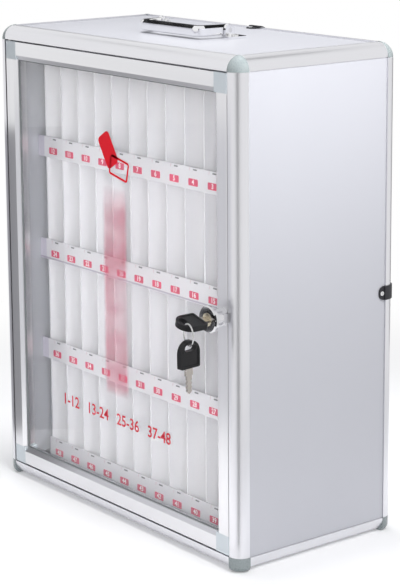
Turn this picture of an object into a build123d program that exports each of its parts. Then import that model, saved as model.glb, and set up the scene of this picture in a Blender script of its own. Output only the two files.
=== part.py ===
# Lockable wall and table cabinet for mobile phones: a frame of rounded aluminium edge sections with
# plastic corner caps and sheet panels, a glazed front door with a cam lock, a rack of 48 slots,
# a folding carrying handle, three wall hangers, and two keys on a ring.
# Millimetres. X runs left to right, Y front to back, Z up. The feet stand on Z = 0.

import os
from math import cos, radians, sin, sqrt

from build123d import *

os.makedirs("parts", exist_ok=True)

# Cabinet over the edge sections
width = 367.0
depth = 184.0
height = 450.0

# Edge section: a rounded tube with panel slots
edge_leg = 12.8
edge_radius = 12.0
edge_core = 8.8
edge_wall = 1.4
edge_lip = 1.2
slot_width = 3.2
rear_lip = 4.0

# Panels
panel_thickness = 3.0
panel_play = 0.3

# Plastic corner caps of the cabinet
cap_size = 13.2
cap_proud = 0.4
foot_round = 6.0
tenon_play = 0.1
cap_tenon_length = 12.0

# Door stop behind the door, on the two front posts
stop_front = 16.8
stop_thickness = 1.4
stop_reach = 15.2
stop_notch_half = 17.0

# Door
door_depth = 16.0
hinge_gap = 1.5
free_gap = 1.0
door_gap_top = 1.4
door_gap_bottom = 1.2
stile_width = 17.2
stile_flat = 13.0
stile_bevel_depth = 2.6
stile_wall = 1.4
stile_edge_round = 0.8
glass_slot_front = 4.4
glass_slot_width = 3.4
bead_reach = 16.5
bead_thickness = 1.2
glass_thickness = 3.0
glass_play = 0.4
gasket_width = 0.8
gasket_depth = 1.3
door_tenon_length = 14.0
door_tenon_play = 0.2

# Hinge pins
pin_inset = 3.2
pin_radius = 1.5
pin_running = 0.05
pin_seat = 4.4
pin_in_door = 12.0

# Cam lock
lock_height = 227.0
lock_proud = 17.0
bezel_radius = 12.0
bezel_rim = 3.6
bezel_chamfer = 1.2
barrel_radius = 8.0
lock_nut_flats = 14.6
lock_nut_thickness = 5.0
rear_nut_flats = 13.0
rear_nut_thickness = 1.6
stem_radius = 5.5
stem_play = 0.1
plug_head_radius = 5.7
plug_head_length = 11.2
plug_face_proud = 0.3
plug_radius = 3.8
plug_running = 0.05
cam_thickness = 2.0
cam_gap = 0.5
cam_width = 8.0
cam_reach = 14.5
cam_pad_radius = 4.3
cam_tip_round = 2.0
cam_square = 4.6
cam_play = 0.1
cam_end_play = 0.2
screw_shank_radius = 1.5
cam_screw_head_radius = 3.4
cam_screw_head_height = 1.8
cam_screw_length = 7.0
hole_overrun = 1.0

# Keys
key_tilt = 15.0
key_gap = 7.0
bow_length = 24.0
bow_width = 22.0
bow_thickness = 5.0
bow_rim = 1.8
bow_recess = 0.7
bow_corner = 1.5
bow_hole_length = 13.0
bow_hole_width = 5.6
bow_hole_from_end = 6.3
blade_thickness = 2.0
blade_tang = 5.0
shank_width = 8.0
blade_width = 5.4
blade_length = 16.0
blade_tip = 2.6
bit_depth = 0.5
bit_width = 2.0
bit_places = (0.3, 0.52, 0.74)
keyway_play = 0.2

# Ring through both bows
ring_radius = 9.3
ring_wire_radius = 0.7
ring_turn = -12.0
spare_turn = 6.0
ring_clearance = 0.3
ring_shift = 0.7

# Carrying handle on the top
pivot_spacing = 92.0
pivot_from_front = 100.0
pivot_height = 6.0
grip_from_front = 67.0
grip_depth = 8.0
grip_half_length = 46.0
grip_corner = 9.0
grip_inner_corner = 3.0
arm_straight = 5.2
arm_bend_radius = 8.0
bail_height = 9.5
bail_chamfer = 2.4
bail_edge = 1.2
bail_inner_edge = 0.8
arm_thickness = 4.6
eye_radius = 4.8
handle_running = 0.05
pivot_screw_radius = 2.0
pivot_head_radius = 3.6
pivot_head_height = 2.0
ear_thickness = 3.0
ear_radius = 5.6
ear_gap = 0.3
foot_reach = 13.0
foot_length = 20.0
foot_corner = 3.3
foot_thickness = 2.4
foot_screw_radius = 1.7
foot_screw_head = 3.2
foot_screw_dome = 1.3
foot_screw_length = 5.2

# Wall hangers
strap_thickness = 1.2
strap_gap = 0.1
strap_foot = 6.0
strap_foot_round = 5.4
strap_step = 0.4
strap_width = 12.5
tab_width = 24.0
tab_reach = 28.0
tab_corner = 1.5
keyhole_radius = 4.5
keyhole_slot_radius = 2.3
keyhole_rise = 7.5
side_keyhole = 21.0
top_keyhole = 17.3
strap_screw_radius = 1.4
strap_screw_head = 2.1
strap_screw_dome = 0.9
strap_screw_length = 4.0

# Phone rack
rack_front = 45.0
columns = 12
divider_from_side = 16.1
row_starts = (9.0, 112.0, 214.5, 318.0)
shelf_thickness = 3.0
divider_thickness = 1.6
label_thickness = 1.5
label_height = 20.5
rack_board_thickness = 3.0
rack_clearance = 0.3
rack_side_play = 0.1

# Places worked out from the sizes above. The origin is the middle of the whole part's footprint,
# from the front edge of the hanging spare key to the back of the wall hangers.
turn = radians(spare_turn)
spare_half_depth = bow_width / 2 * cos(turn) + bow_thickness / 2 * sin(turn)
key_reach = lock_proud + key_gap + bow_length - bow_hole_from_end + ring_shift + spare_half_depth
strap_stand = strap_gap + strap_thickness
left = -width / 2
right = width / 2
front = (key_reach - depth - strap_stand) / 2
back = front + depth
bottom = cap_proud
top = bottom + height

slot_back = edge_lip + slot_width
flange_back = slot_back + edge_lip
slot_play = (slot_width - panel_thickness) / 2
panel_face = edge_lip + slot_play
rear_panel_face = rear_lip + slot_play
panel_edge = edge_core + panel_play
panel_inside = panel_face + panel_thickness
stop_back = stop_front + stop_thickness

door_left = left + edge_leg + hinge_gap
door_right = right - edge_leg - free_gap
door_bottom = bottom + edge_leg + door_gap_bottom
door_top = top - edge_leg - door_gap_top
hinge_x = door_left + pin_inset
hinge_y = front + pin_inset

lock_x = door_right - stile_flat / 2
lock_y = front - lock_proud
lock_z = bottom + lock_height
key_flat_y = lock_y - key_gap


def save(piece, name):
    """Label a finished piece and write it."""
    piece.part.label = name
    export_step(piece.part, "parts/" + name + ".step")


# Edge sections of the cabinet


def hollow_of_edge():
    """Outline of the closed chamber of an edge section, drawn from the outer corner of the box."""
    inner = edge_radius - edge_wall
    reach = edge_core - edge_wall
    rise = edge_radius - sqrt(inner**2 - (edge_radius - reach) ** 2)
    diagonal = edge_radius - inner / sqrt(2)
    with BuildLine() as chamber:
        ThreePointArc((reach, rise), (diagonal, diagonal), (rise, reach))
        Polyline((rise, reach), (reach, reach), (reach, rise))
    return chamber.edges()


def edge_outline(first_face, second_face):
    """Outline of an edge section. Each face is the run of points between its lip and the core."""
    diagonal = edge_radius - edge_radius / sqrt(2)
    with BuildLine() as outline:
        Polyline(
            (edge_radius, 0),
            (edge_leg, 0),
            *first_face,
            (edge_core, edge_core),
            *second_face,
            (0, edge_leg),
            (0, edge_radius),
        )
        ThreePointArc((0, edge_radius), (diagonal, diagonal), (edge_radius, 0))
    return outline.edges()


def slotted_face(lip):
    """A face with a panel slot, from the lip's end to the core."""
    return (
        (edge_leg, lip),
        (edge_core, lip),
        (edge_core, lip + slot_width),
        (edge_leg, lip + slot_width),
        (edge_leg, lip + slot_width + edge_lip),
        (edge_core, lip + slot_width + edge_lip),
    )


closed_face = ((edge_leg, flange_back), (edge_core, flange_back))
side_slot = slotted_face(edge_lip)
rear_slot = slotted_face(rear_lip)
stop_face = (
    (flange_back, edge_core),
    (flange_back, stop_front),
    (stop_reach, stop_front),
    (stop_reach, stop_back),
    (slot_back, stop_back),
    (slot_back, edge_core),
    (edge_lip, edge_core),
    (edge_lip, edge_leg),
)


def swapped(points):
    """The same run of points on the other face of the section."""
    return tuple((second, first) for first, second in reversed(points))


def edge_section(first_face, second_face, low, high, inward, second):
    """One edge section between two corner caps, from the low to the high corner of the box."""
    along = Vector(*inward).cross(Vector(*second))
    run = Vector(*high) - Vector(*low)
    start = Vector(*low) if along.dot(run) > 0 else Vector(*high)
    place = Plane(origin=start + along * cap_size, x_dir=inward, z_dir=along)
    with BuildPart() as section:
        with BuildSketch(place):
            make_face(edge_outline(first_face, second_face))
            make_face(hollow_of_edge(), mode=Mode.SUBTRACT)
        extrude(amount=run.length - 2 * cap_size)
    return section


x_in = {"left": (1, 0, 0), "right": (-1, 0, 0)}
z_in = {"bottom": (0, 0, 1), "top": (0, 0, -1)}
x_at = {"left": left, "right": right}
z_at = {"bottom": bottom, "top": top}
to_back = (0, 1, 0)
to_front = (0, -1, 0)

# Front posts, with the stop that the door closes against
front_post_left = edge_section(
    closed_face,
    stop_face,
    (left, front, bottom),
    (left, front, top),
    x_in["left"],
    to_back,
)
save(front_post_left, "front_post_left")

post_right = edge_section(
    closed_face,
    stop_face,
    (right, front, bottom),
    (right, front, top),
    x_in["right"],
    to_back,
)
with BuildPart() as front_post_right:
    add(post_right.part)
    # The stop is cut back where the lock's stem and nut come past it
    with Locations((right - (edge_leg + stop_reach) / 2, front + (stop_front + stop_back) / 2, lock_z)):
        Box(stop_reach - edge_leg, stop_thickness, 2 * stop_notch_half, mode=Mode.SUBTRACT)
save(front_post_right, "front_post_right")

# Front rails above and below the door. Each holds a hinge pin in its closed leg.
for level in ("bottom", "top"):
    rail = edge_section(
        closed_face,
        swapped(side_slot),
        (left, front, z_at[level]),
        (right, front, z_at[level]),
        z_in[level],
        to_back,
    )
    inward = z_in[level][2]
    leg_end = z_at[level] + inward * edge_leg
    with BuildPart() as front_rail:
        add(rail.part)
        with Locations((hinge_x, hinge_y, leg_end - inward * pin_seat / 2)):
            Cylinder(pin_radius + pin_running / 2, pin_seat, mode=Mode.SUBTRACT)
    save(front_rail, "front_rail_" + level)

# Rear posts and rails, with a deeper slot that sets the back panel in
for side in ("left", "right"):
    rear_post = edge_section(
        rear_slot,
        swapped(side_slot),
        (x_at[side], back, bottom),
        (x_at[side], back, top),
        x_in[side],
        to_front,
    )
    save(rear_post, "rear_post_" + side)

for level in ("bottom", "top"):
    rear_rail = edge_section(
        rear_slot,
        swapped(side_slot),
        (left, back, z_at[level]),
        (right, back, z_at[level]),
        z_in[level],
        to_front,
    )
    save(rear_rail, "rear_rail_" + level)

# Side rails from front to back
for level in ("bottom", "top"):
    for side in ("left", "right"):
        side_rail = edge_section(
            side_slot,
            swapped(side_slot),
            (x_at[side], front, z_at[level]),
            (x_at[side], back, z_at[level]),
            x_in[side],
            z_in[level],
        )
        save(side_rail, "side_rail_" + level + "_" + side)


# Corner caps: a quarter dome on each top corner, a flat-bottomed quarter puck on each bottom one.
# Three square tenons plug into the chambers of the sections that meet there.
cap_radius = cap_size + cap_proud
tenon_low = edge_radius - (edge_radius - edge_wall) / sqrt(2) + 2 * tenon_play
tenon_high = edge_core - edge_wall - tenon_play
tenon_side = tenon_high - tenon_low
tenon_middle = (tenon_high + tenon_low) / 2


def dome_profile():
    """Half outline of a top cap: a quarter circle."""
    with BuildLine() as outline:
        Line((0, 0), (cap_radius, 0))
        ThreePointArc(
            (cap_radius, 0),
            (cap_radius / sqrt(2), cap_radius / sqrt(2)),
            (0, cap_radius),
        )
        Line((0, cap_radius), (0, 0))
    return outline.edges()


def puck_profile():
    """Half outline of a bottom cap: upright side, rounded edge, flat foot."""
    centre = cap_radius - foot_round
    bulge = centre + foot_round / sqrt(2)
    with BuildLine() as outline:
        Polyline((0, cap_radius), (0, 0), (cap_radius, 0), (cap_radius, centre))
        ThreePointArc((cap_radius, centre), (bulge, bulge), (centre, cap_radius))
        Line((centre, cap_radius), (0, cap_radius))
    return outline.edges()


for level, out_z in (("bottom", -1), ("top", 1)):
    for depth_name, out_y, y_face in (("front", -1, front), ("rear", 1, back)):
        for side, out_x in (("left", -1), ("right", 1)):
            corner = Vector(x_at[side], y_face, z_at[level])
            outward = (out_x, out_y, out_z)
            inner = corner - Vector(*outward) * cap_size
            spin = Plane(origin=inner, x_dir=(1, 0, 0), z_dir=(0, -out_z, 0))
            quarter = inner + Vector(*outward) * cap_radius
            with BuildPart() as corner_cap:
                with BuildSketch(spin):
                    make_face(dome_profile() if level == "top" else puck_profile())
                revolve(axis=Axis(inner, (0, 0, 1)))
                with Locations(quarter):
                    Box(2 * cap_radius, 2 * cap_radius, 2 * cap_radius, mode=Mode.INTERSECT)
                for axis in range(3):
                    size = [tenon_side, tenon_side, tenon_side]
                    size[axis] = cap_tenon_length
                    spot = [corner.X, corner.Y, corner.Z]
                    for other in range(3):
                        reach = cap_size + cap_tenon_length / 2 if other == axis else tenon_middle
                        spot[other] -= outward[other] * reach
                    with Locations(tuple(spot)):
                        Box(*size)
            save(corner_cap, "corner_cap_" + level + "_" + depth_name + "_" + side)


# Panels: sheets held in the slots, with their corners notched clear of the caps
notch = cap_size + tenon_play - panel_edge


def panel(place, across, along):
    """A sheet centred on the plane, extruded by its thickness."""
    with BuildPart() as sheet:
        with BuildSketch(place):
            Rectangle(across, along)
            with GridLocations(across - notch, along - notch, 2, 2):
                Rectangle(notch, notch, mode=Mode.SUBTRACT)
        extrude(amount=panel_thickness)
    return sheet


middle_y = (front + back) / 2
middle_z = (bottom + top) / 2
sheet_width = width - 2 * panel_edge
sheet_depth = depth - 2 * panel_edge
sheet_height = height - 2 * panel_edge

top_plane = Plane(origin=(0, middle_y, top - panel_inside), x_dir=(1, 0, 0), z_dir=(0, 0, 1))
top_sheet = panel(top_plane, sheet_width, sheet_depth)

bottom_plane = Plane(origin=(0, middle_y, bottom + panel_face), x_dir=(1, 0, 0), z_dir=(0, 0, 1))
bottom_panel = panel(bottom_plane, sheet_width, sheet_depth)
save(bottom_panel, "bottom_panel")

left_plane = Plane(origin=(left + panel_face, middle_y, middle_z), x_dir=(0, 1, 0), z_dir=(1, 0, 0))
left_sheet = panel(left_plane, sheet_depth, sheet_height)

right_plane = Plane(origin=(right - panel_inside, middle_y, middle_z), x_dir=(0, 1, 0), z_dir=(1, 0, 0))
right_sheet = panel(right_plane, sheet_depth, sheet_height)

back_plane = Plane(origin=(0, back - rear_panel_face, middle_z), x_dir=(1, 0, 0), z_dir=(0, -1, 0))
back_panel = panel(back_plane, sheet_width, sheet_height)
save(back_panel, "back_panel")


# Wall hangers: a steel strap that lies on the panel, steps over the edge section's lip, bends round
# the rounded edge and hooks the wall screw with a keyhole in its back leg
foot_start = edge_leg + strap_step
foot_end = foot_start + strap_thickness + strap_foot
strap_out = -strap_gap - strap_thickness
strap_face = panel_face - strap_thickness
screw_from_back = (foot_start + foot_end) / 2 + strap_thickness / 2


def hanger(corner_point, inward, slot_from_edge):
    """One hanger. Local x runs inward from the side or top face, local y inward from the back."""
    normal = Vector(*inward).cross(Vector(*to_front))
    place = Plane(origin=corner_point, x_dir=inward, z_dir=normal)
    inner_round = edge_radius + strap_gap
    outer_round = inner_round + strap_thickness
    inner_mid = edge_radius - inner_round / sqrt(2)
    outer_mid = edge_radius - outer_round / sqrt(2)
    with BuildPart() as strap:
        with BuildSketch(place):
            with BuildLine():
                Polyline(
                    (-strap_gap, edge_radius),
                    (-strap_gap, foot_start),
                    (panel_face, foot_start),
                    (panel_face, foot_end),
                    (strap_face, foot_end),
                    (strap_face, foot_start + strap_thickness),
                    (strap_out, foot_start + strap_thickness),
                    (strap_out, edge_radius),
                )
                ThreePointArc((strap_out, edge_radius), (outer_mid, outer_mid), (edge_radius, strap_out))
                Polyline(
                    (edge_radius, strap_out),
                    (tab_reach, strap_out),
                    (tab_reach, -strap_gap),
                    (edge_radius, -strap_gap),
                )
                ThreePointArc((edge_radius, -strap_gap), (inner_mid, inner_mid), (-strap_gap, edge_radius))
            make_face()
        extrude(amount=strap_width / 2, both=True)
        # Rounded end of the foot
        foot_edges = strap.edges().filter_by(Axis(corner_point, inward)).filter_by(
            lambda edge: abs(back - edge.center().Y - foot_end) < 0.01
        )
        fillet(foot_edges, strap_foot_round)
        # Back leg, widened to a tab for the keyhole
        back_face = Plane(
            origin=Vector(*corner_point) + Vector(*to_front) * strap_out,
            x_dir=inward,
            z_dir=to_front,
        )
        with BuildSketch(back_face):
            with Locations(((edge_leg + tab_reach) / 2, 0)):
                RectangleRounded(tab_reach - edge_leg, tab_width, tab_corner)
        extrude(amount=strap_thickness)
        # Keyhole: the slot rises from the round entry
        up = Vector(back_face.x_dir.Z, back_face.y_dir.Z)
        slot_middle = Vector(slot_from_edge, 0)
        with BuildSketch(back_face):
            with Locations(slot_middle - up * (keyhole_rise / 2)):
                Circle(keyhole_radius)
            with Locations(slot_middle):
                SlotCenterToCenter(keyhole_rise, 2 * keyhole_slot_radius, rotation=90 * up.Y)
        extrude(amount=strap_thickness, mode=Mode.SUBTRACT)
    return strap


# Screws of the hangers go through the foot into the panel. Each spot has its outward direction.
side_screws = (
    (Vector(left + strap_face, back - screw_from_back, middle_z), (-1, 0, 0)),
    (Vector(right - strap_face, back - screw_from_back, middle_z), (1, 0, 0)),
)
top_screws = ((Vector(0, back - screw_from_back, top - strap_face), (0, 0, 1)),)


def bored(piece, screws, radius, length):
    """The piece with a hole under each screw, from the screw's seat inwards."""
    with BuildPart() as holed:
        add(piece.part)
        for spot, outward in screws:
            with BuildSketch(Plane(origin=spot, z_dir=outward)):
                Circle(radius)
            extrude(amount=-length, mode=Mode.SUBTRACT)
    return holed


strap_hole = strap_screw_radius + pin_running / 2
left_strap = hanger((left, back, middle_z), x_in["left"], side_keyhole)
right_strap = hanger((right, back, middle_z), x_in["right"], side_keyhole)
with BuildPart() as both_straps:
    add(left_strap.part)
    add(right_strap.part)
side_hangers = bored(both_straps, side_screws, strap_hole, strap_screw_length)
save(side_hangers, "side_hangers")

top_strap = hanger((0, back, top), z_in["top"], top_keyhole)
top_hanger = bored(top_strap, top_screws, strap_hole, strap_screw_length)
save(top_hanger, "top_hanger")

with BuildPart() as hanger_screws:
    for spot, outward in side_screws + top_screws:
        seat = Plane(origin=spot, z_dir=outward)
        with BuildSketch(seat):
            Circle(strap_screw_head)
        extrude(amount=strap_screw_dome)
        with BuildSketch(seat):
            Circle(strap_screw_radius)
        extrude(amount=-strap_screw_length)
save(hanger_screws, "hanger_screws")


# Carrying handle. Each bracket is a foot screwed to the top panel with an upright ear.
# The bail's eye turns on a screw from the inside, and the grip lies towards the front.
pivot_y = front + pivot_from_front
panel_top = top - panel_face
pivot_z = top + pivot_height
bail_low = pivot_z - bail_height / 2
eye_x = pivot_spacing / 2
ear_x = eye_x + arm_thickness / 2 + ear_gap
foot_spots = tuple(
    (Vector(sign * (ear_x + ear_thickness + foot_reach / 2), pivot_y, panel_top + foot_thickness), (0, 0, 1))
    for sign in (-1, 1)
)

with BuildPart() as handle_bail:
    grip_y = front + grip_from_front
    grip_rear_y = grip_y + grip_depth
    grip_inner = grip_half_length - grip_depth
    arm_outer = eye_x + arm_thickness / 2
    arm_inner = eye_x - arm_thickness / 2
    half_outline = (
        (grip_half_length, grip_y),
        (arm_outer, pivot_y - arm_straight),
        (arm_outer, pivot_y),
        (arm_inner, pivot_y),
        (arm_inner, pivot_y - arm_straight),
        (grip_inner, grip_rear_y),
    )
    with BuildSketch(Plane.XY.offset(bail_low)):
        with BuildLine():
            Polyline(*half_outline, *((-x, y) for x, y in reversed(half_outline)), close=True)
        make_face()
    extrude(amount=bail_height)
    front_corners = handle_bail.edges().filter_by(Axis.Z).sort_by(Axis.Y)[:2]
    fillet(front_corners, grip_corner)
    inner_corners = handle_bail.edges().filter_by(Axis.Z).filter_by(
        lambda edge: abs(edge.center().Y - grip_rear_y) < 0.01
    )
    fillet(inner_corners, grip_inner_corner)
    arm_bends = handle_bail.edges().filter_by(Axis.Z).filter_by(
        lambda edge: abs(edge.center().Y - pivot_y + arm_straight) < 0.01
    )
    fillet(arm_bends, arm_bend_radius)
    face_edges = handle_bail.edges().filter_by(Axis.Z, reverse=True)
    worn_edges = face_edges.filter_by(lambda edge: abs(edge.center().Y - pivot_y) > 0.01)
    outer_edges = worn_edges.filter_by(
        lambda edge: edge.center().Y < grip_rear_y - 0.01 or abs(edge.center().X) > arm_inner + 0.01
    )
    inner_edges = worn_edges.filter_by(
        lambda edge: edge.center().Y > grip_rear_y - 0.01 and abs(edge.center().X) < arm_inner + 0.01
    )
    chamfer(outer_edges.group_by(Axis.Z)[-1], bail_chamfer)
    fillet(outer_edges.group_by(Axis.Z)[0], bail_edge)
    fillet(inner_edges, bail_inner_edge)
    for sign in (-1, 1):
        eye_face = Plane(
            origin=(sign * eye_x - arm_thickness / 2, pivot_y, pivot_z),
            x_dir=(0, 1, 0),
            z_dir=(1, 0, 0),
        )
        with BuildSketch(eye_face):
            Circle(eye_radius)
        extrude(amount=arm_thickness)
    for sign in (-1, 1):
        with Locations(Location((sign * eye_x, pivot_y, pivot_z), (0, 90, 0))):
            Cylinder(pivot_screw_radius + handle_running, 2 * arm_thickness, mode=Mode.SUBTRACT)
save(handle_bail, "handle_bail")

with BuildPart() as handle_brackets:
    for sign in (-1, 1):
        ear_low = sign * ear_x if sign > 0 else sign * (ear_x + ear_thickness)
        ear_plane = Plane(origin=(ear_low, pivot_y, panel_top), x_dir=(0, 1, 0), z_dir=(1, 0, 0))
        ear_rise = pivot_z - panel_top
        with BuildSketch(ear_plane):
            with Locations((0, ear_rise)):
                Circle(ear_radius)
            with Locations((0, ear_rise / 2)):
                Rectangle(2 * ear_radius, ear_rise)
        extrude(amount=ear_thickness)
        foot_x = sign * (ear_x + ear_thickness + foot_reach / 2)
        with BuildSketch(Plane.XY.offset(panel_top)):
            with Locations((foot_x - sign * ear_thickness / 2, pivot_y)):
                RectangleRounded(foot_reach + ear_thickness, foot_length, foot_corner)
        extrude(amount=foot_thickness)
        with Locations(Location((sign * (ear_x + ear_thickness / 2), pivot_y, pivot_z), (0, 90, 0))):
            Cylinder(pivot_screw_radius + handle_running / 2, 2 * ear_thickness, mode=Mode.SUBTRACT)
        with Locations((foot_x, pivot_y, panel_top + foot_thickness / 2)):
            Cylinder(foot_screw_radius + pin_running / 2, 2 * foot_thickness, mode=Mode.SUBTRACT)
save(handle_brackets, "handle_brackets")

with BuildPart() as handle_pivot_screws:
    for sign in (-1, 1):
        head_face = sign * (eye_x - arm_thickness / 2 - handle_running)
        toward = (sign, 0, 0)
        seat = Plane(origin=(head_face, pivot_y, pivot_z), z_dir=toward)
        with BuildSketch(seat):
            Circle(pivot_screw_radius)
        extrude(amount=ear_x + ear_thickness - abs(head_face))
        with BuildSketch(seat):
            RegularPolygon(pivot_head_radius, 8)
        extrude(amount=-pivot_head_height)
save(handle_pivot_screws, "handle_pivot_screws")

with BuildPart() as handle_foot_screws:
    for spot, outward in foot_spots:
        seat = Plane(origin=spot, z_dir=outward)
        with BuildSketch(seat):
            Circle(foot_screw_head)
        extrude(amount=foot_screw_dome)
        with BuildSketch(seat):
            Circle(foot_screw_radius)
        extrude(amount=-foot_screw_length)
save(handle_foot_screws, "handle_foot_screws")

# The top and side panels take the screws of the handle and the hangers
top_bored = bored(top_sheet, top_screws, strap_hole, strap_screw_length)
top_panel = bored(top_bored, foot_spots, foot_screw_radius + pin_running / 2, foot_screw_length)
save(top_panel, "top_panel")
side_panel_left = bored(left_sheet, side_screws[:1], strap_hole, strap_screw_length)
save(side_panel_left, "side_panel_left")
side_panel_right = bored(right_sheet, side_screws[1:], strap_hole, strap_screw_length)
save(side_panel_right, "side_panel_right")


# Door frame: two stiles and two rails of one hollow section, cut square at four corner caps


def stile_outline():
    """Section of the door frame: x from the outer edge inwards, y from the front back."""
    slot_rear = glass_slot_front + glass_slot_width
    with BuildLine() as outline:
        Polyline(
            (0, 0),
            (stile_flat, 0),
            (stile_width, stile_bevel_depth),
            (stile_width, glass_slot_front),
            (stile_flat, glass_slot_front),
            (stile_flat, slot_rear),
            (bead_reach, slot_rear),
            (bead_reach, slot_rear + bead_thickness),
            (stile_flat, slot_rear + bead_thickness),
            (stile_flat, door_depth),
            (0, door_depth),
            close=True,
        )
    return outline.edges()


def door_member(low, high, inward):
    """One stile or rail between two corner caps of the door."""
    along = Vector(*inward).cross(Vector(*to_back))
    run = Vector(*high) - Vector(*low)
    start = Vector(*low) if along.dot(run) > 0 else Vector(*high)
    place = Plane(origin=start + along * stile_width, x_dir=inward, z_dir=along)
    with BuildPart() as member:
        with BuildSketch(place):
            make_face(stile_outline())
            with Locations((stile_flat / 2, door_depth / 2)):
                Rectangle(stile_flat - 2 * stile_wall, door_depth - 2 * stile_wall, mode=Mode.SUBTRACT)
        extrude(amount=run.length - 2 * stile_width)
        outer_front = member.edges().filter_by(Axis(start, along)).filter_by(
            lambda edge: abs((edge.center() - start).dot(Vector(*inward))) < 0.01
            and abs((edge.center() - start).dot(Vector(*to_back))) < 0.01
        )
        fillet(outer_front, stile_edge_round)
    return member


door_stile_left = door_member((door_left, front, door_bottom), (door_left, front, door_top), x_in["left"])
save(door_stile_left, "door_stile_left")

plain_stile = door_member((door_right, front, door_bottom), (door_right, front, door_top), x_in["right"])
with BuildPart() as door_stile_right:
    add(plain_stile.part)
    # Hole for the stem of the lock, through both walls
    with Locations(Location((lock_x, front + door_depth / 2, lock_z), (90, 0, 0))):
        Cylinder(stem_radius + stem_play, 2 * door_depth, mode=Mode.SUBTRACT)
save(door_stile_right, "door_stile_right")

door_rail_bottom = door_member((door_left, front, door_bottom), (door_right, front, door_bottom), z_in["bottom"])
save(door_rail_bottom, "door_rail_bottom")
door_rail_top = door_member((door_left, front, door_top), (door_right, front, door_top), z_in["top"])
save(door_rail_top, "door_rail_top")

# Corner caps of the door: square blocks with a tenon into the stile and one into the rail.
# The two on the hinge side are bored for the pins.
door_middle_x = (door_left + door_right) / 2
door_middle_z = (door_bottom + door_top) / 2
tenon_across = stile_flat - 2 * stile_wall - 2 * door_tenon_play
tenon_deep = door_depth - 2 * stile_wall - 2 * door_tenon_play
with BuildPart() as door_corner_caps:
    for cap_x, in_x in ((door_left, 1), (door_right, -1)):
        for cap_z, in_z in ((door_bottom, 1), (door_top, -1)):
            with Locations((cap_x + in_x * stile_width / 2, front + door_depth / 2, cap_z + in_z * stile_width / 2)):
                Box(stile_width, door_depth, stile_width)
            mid_y = front + door_depth / 2
            tenon_far = stile_width + door_tenon_length / 2
            with Locations((cap_x + in_x * stile_flat / 2, mid_y, cap_z + in_z * tenon_far)):
                Box(tenon_across, tenon_deep, door_tenon_length)
            with Locations((cap_x + in_x * tenon_far, mid_y, cap_z + in_z * stile_flat / 2)):
                Box(door_tenon_length, tenon_deep, tenon_across)
    outer_edges = door_corner_caps.edges().filter_by(Axis.Z).filter_by(
        lambda edge: abs(edge.center().Y - front) < 0.01
        and min(abs(edge.center().X - door_left), abs(edge.center().X - door_right)) < 0.01
    )
    fillet(outer_edges, stile_edge_round)
    for cap_z, in_z in ((door_bottom, 1), (door_top, -1)):
        with Locations((hinge_x, hinge_y, cap_z + in_z * pin_in_door / 2)):
            Cylinder(pin_radius + pin_running, pin_in_door + hole_overrun, mode=Mode.SUBTRACT)
save(door_corner_caps, "door_corner_caps")

# Window pane in the slot, its corners notched clear of the caps, and the sealing strip round its front
pane_edge = stile_flat + glass_play
pane_notch = stile_width + glass_play / 2 - pane_edge
pane_front = front + glass_slot_front + (glass_slot_width - glass_thickness) / 2
pane_width = door_right - door_left - 2 * pane_edge
pane_height = door_top - door_bottom - 2 * pane_edge
with BuildPart() as door_window:
    with BuildSketch(Plane(origin=(door_middle_x, pane_front, door_middle_z), x_dir=(-1, 0, 0), z_dir=(0, 1, 0))):
        Rectangle(pane_width, pane_height)
        with GridLocations(pane_width - pane_notch, pane_height - pane_notch, 2, 2):
            Rectangle(pane_notch, pane_notch, mode=Mode.SUBTRACT)
    extrude(amount=glass_thickness)
save(door_window, "door_window")

seal_width = door_right - door_left - 2 * stile_width - glass_play / 2
seal_height = door_top - door_bottom - 2 * stile_width - glass_play / 2
with BuildPart() as window_gasket:
    with BuildSketch(Plane(origin=(door_middle_x, pane_front, door_middle_z), x_dir=(1, 0, 0), z_dir=(0, -1, 0))):
        Rectangle(seal_width, seal_height)
        Rectangle(seal_width - 2 * gasket_width, seal_height - 2 * gasket_width, mode=Mode.SUBTRACT)
    extrude(amount=gasket_depth)
save(window_gasket, "window_gasket")

# Hinge pins, one standing in each front rail
with BuildPart() as hinge_pins:
    for level, leg_end, gap in (
        ("bottom", bottom + edge_leg, door_gap_bottom),
        ("top", top - edge_leg, door_gap_top),
    ):
        inward = z_in[level][2]
        pin_length = pin_seat + gap + pin_in_door
        with Locations((hinge_x, hinge_y, leg_end + inward * (pin_length / 2 - pin_seat))):
            Cylinder(pin_radius, pin_length)
save(hinge_pins, "hinge_pins")


# Cam lock. Its housing stands proud of the stile and is held by a nut on each side of it.
stem_end = door_depth + rear_nut_thickness + cam_gap
cam_front = stop_back + cam_gap
shoulder = cam_front - cam_end_play
head_step = plug_head_length - plug_face_proud


def lock_plane(from_front, outward=False):
    """A plane across the lock's axis, at a distance behind the door's front."""
    direction = (0, -1, 0) if outward else (0, 1, 0)
    return Plane(origin=(lock_x, front + from_front, lock_z), x_dir=(1, 0, 0), z_dir=direction)


with BuildPart() as lock_housing:
    with BuildSketch(Plane(origin=(lock_x, front, lock_z), x_dir=(1, 0, 0), z_dir=(0, 0, 1))):
        with BuildLine():
            Polyline(
                (plug_head_radius + plug_running, -lock_proud),
                (bezel_radius - bezel_chamfer, -lock_proud),
                (bezel_radius, -lock_proud + bezel_chamfer),
                (bezel_radius, -lock_proud + bezel_rim),
                (barrel_radius, -lock_proud + bezel_rim + bezel_chamfer),
                (barrel_radius, -lock_nut_thickness),
                (stem_radius, -lock_nut_thickness),
                (stem_radius, stem_end),
                (plug_radius + plug_running, stem_end),
                (plug_radius + plug_running, -lock_proud + head_step + 2 * plug_running),
                (plug_head_radius + plug_running, -lock_proud + head_step + 2 * plug_running),
                close=True,
            )
        make_face()
    revolve(axis=Axis((lock_x, front, lock_z), (0, 1, 0)))
save(lock_housing, "lock_housing")

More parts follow.
